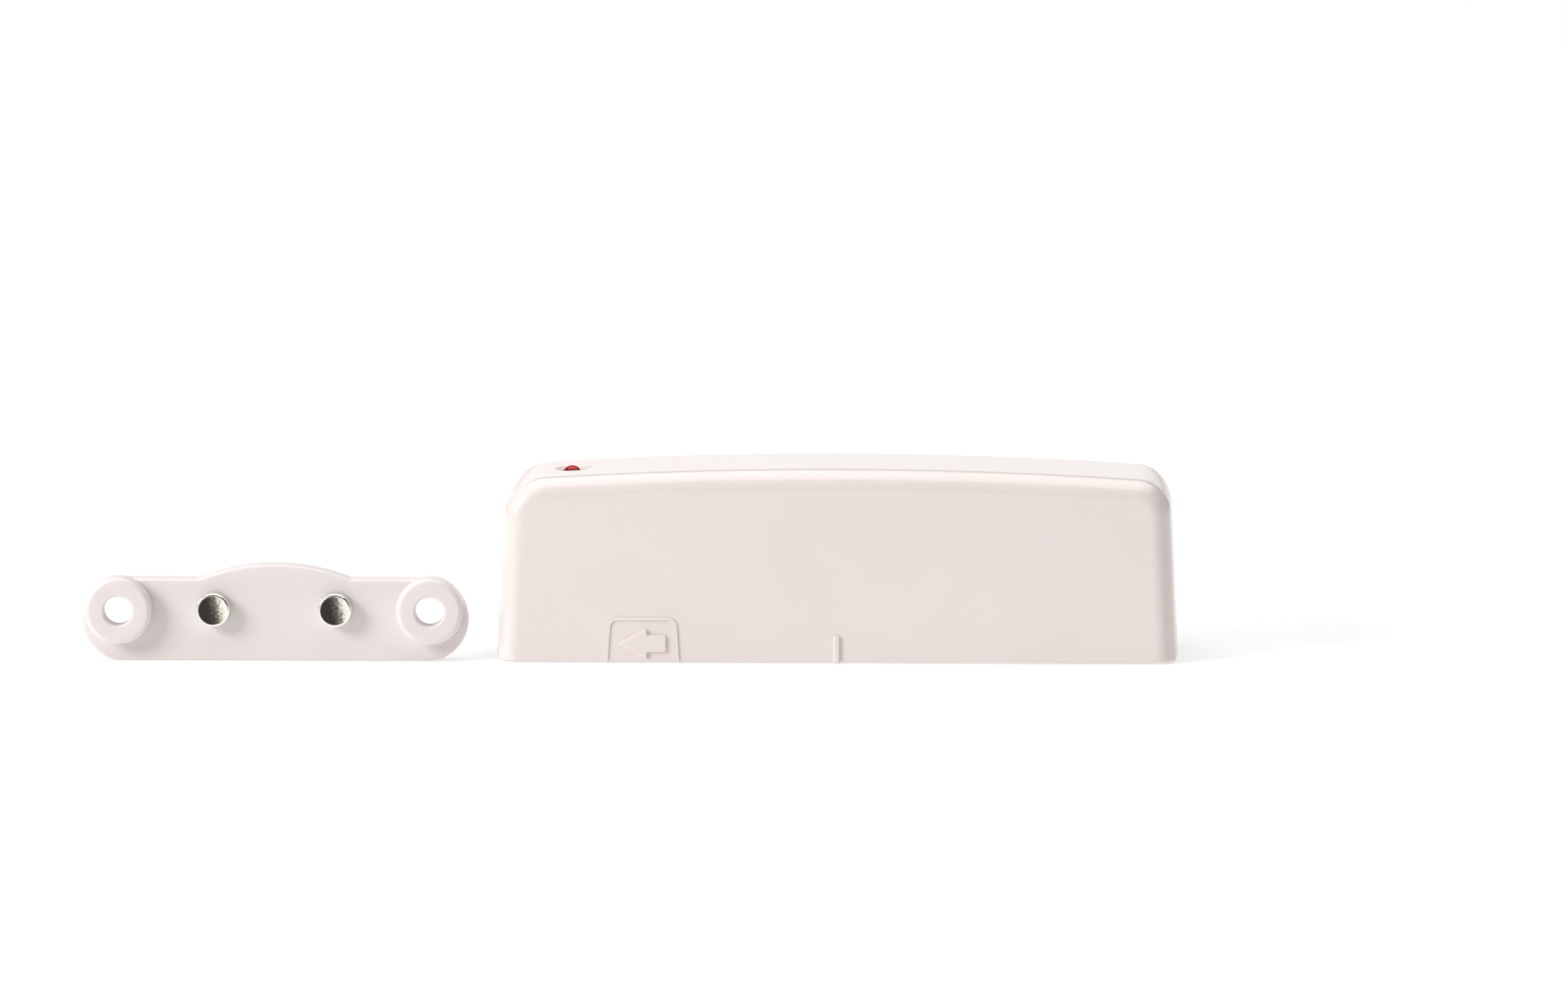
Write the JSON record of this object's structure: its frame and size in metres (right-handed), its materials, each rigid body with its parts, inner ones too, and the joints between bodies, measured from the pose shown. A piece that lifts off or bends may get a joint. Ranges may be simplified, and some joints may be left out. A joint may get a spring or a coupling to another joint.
{
  "type": "door contact sensor",
  "caption": "White door contact sensor: a long crowned sensor unit with a status light, slid onto a wall plate, and a rounded magnet unit with screw bosses and disc magnets.",
  "frame": {"origin": "on the back plate's wall face, at the middle of the sensor unit's length and width", "axes": "+X along the sensor unit, away from its status light and from the magnet unit; +Y away from the marked long side; +Z out of the wall, towards the crowned front"},
  "size_m": [0.1621, 0.0255, 0.0285],
  "materials": {
    "abs_white": "moulded ABS, light gloss",
    "nylon_white": "moulded polyamide, soft gloss",
    "plate_white": "moulded ABS, fine texture",
    "nickel": "bright nickel plate",
    "led_red": "tinted clear epoxy",
    "tinned": "tinned wire",
    "board_green": "solder mask over glass epoxy",
    "reed_glass": "clear greenish glass",
    "nickel_iron": "plated nickel-iron",
    "can_steel": "nickel-plated steel can",
    "sleeve_blue": "shrink sleeve",
    "cradle_black": "glass-filled polyamide",
    "spring_steel": "nickel-plated spring steel",
    "epoxy_black": "moulded epoxy",
    "radio_green": "solder mask",
    "shield_tin": "tinned sheet",
    "ceramic": "fired ceramic",
    "resistor_black": "glazed ceramic",
    "capacitor_can": "sleeved aluminium can",
    "copper_wire": "enamelled copper wire",
    "screw_zinc": "zinc plated",
    "switch_black": "moulded polyamide",
    "plunger_white": "acetal",
    "button_red": "moulded ABS"
  },
  "bodies": {
    "back_plate": {"back_plate": "plate_white"},
    "magnet_unit": {"magnet_holder": "nylon_white", "magnet_left": "nickel", "magnet_right": "nickel"},
    "tamper_plunger": {"tamper_plunger": "plunger_white"},
    "learn_button": {"learn_button": "button_red"},
    "sensor": {"antenna": "copper_wire", "battery_cradle": "cradle_black", "board_screws": "screw_zinc", "cell_can": "can_steel", "cell_sleeve": "sleeve_blue", "chip_capacitors": "ceramic", "chip_pins": "tinned", "chip_resistors": "resistor_black", "control_chip": "epoxy_black", "cover": "abs_white", "crystal": "can_steel", "learn_body": "switch_black", "led_leads": "tinned", "main_board": "board_green", "minus_plate": "spring_steel", "minus_spring": "spring_steel", "plus_contact": "spring_steel", "radio_board": "radio_green", "radio_shield": "shield_tin", "reed_blades": "nickel_iron", "reed_glass": "reed_glass", "reservoir_capacitor": "capacitor_can", "status_led": "led_red", "tamper_body": "switch_black", "tamper_spring": "spring_steel"}
  },
  "joints": [
    {"name": "cover_slide", "type": "slide", "parent": "back_plate", "child": "sensor", "axis": [-1, 0, 0], "range_m": [0, 0.0035]},
    {"name": "tamper_travel", "type": "slide", "parent": "sensor", "child": "tamper_plunger", "axis": [0, 0, -1], "range_m": [0, 0.001], "stiffness_N_per_m": 60, "springref_m": 0.003, "deforming": ["tamper_spring"]},
    {"name": "learn_press", "type": "slide", "parent": "sensor", "child": "learn_button", "axis": [0, 0, 1], "range_m": [0, 0.00025], "stiffness_N_per_m": 2000, "springref_m": -0.0002},
    {"name": "magnet_travel", "type": "slide", "parent": "back_plate", "child": "magnet_unit", "axis": [-1, 0, 0], "range_m": [0, 0.06]}
  ],
  "couplings": [
    {"joint": "tamper_travel", "follows": "cover_slide", "ratio": 0.2857}
  ]
}
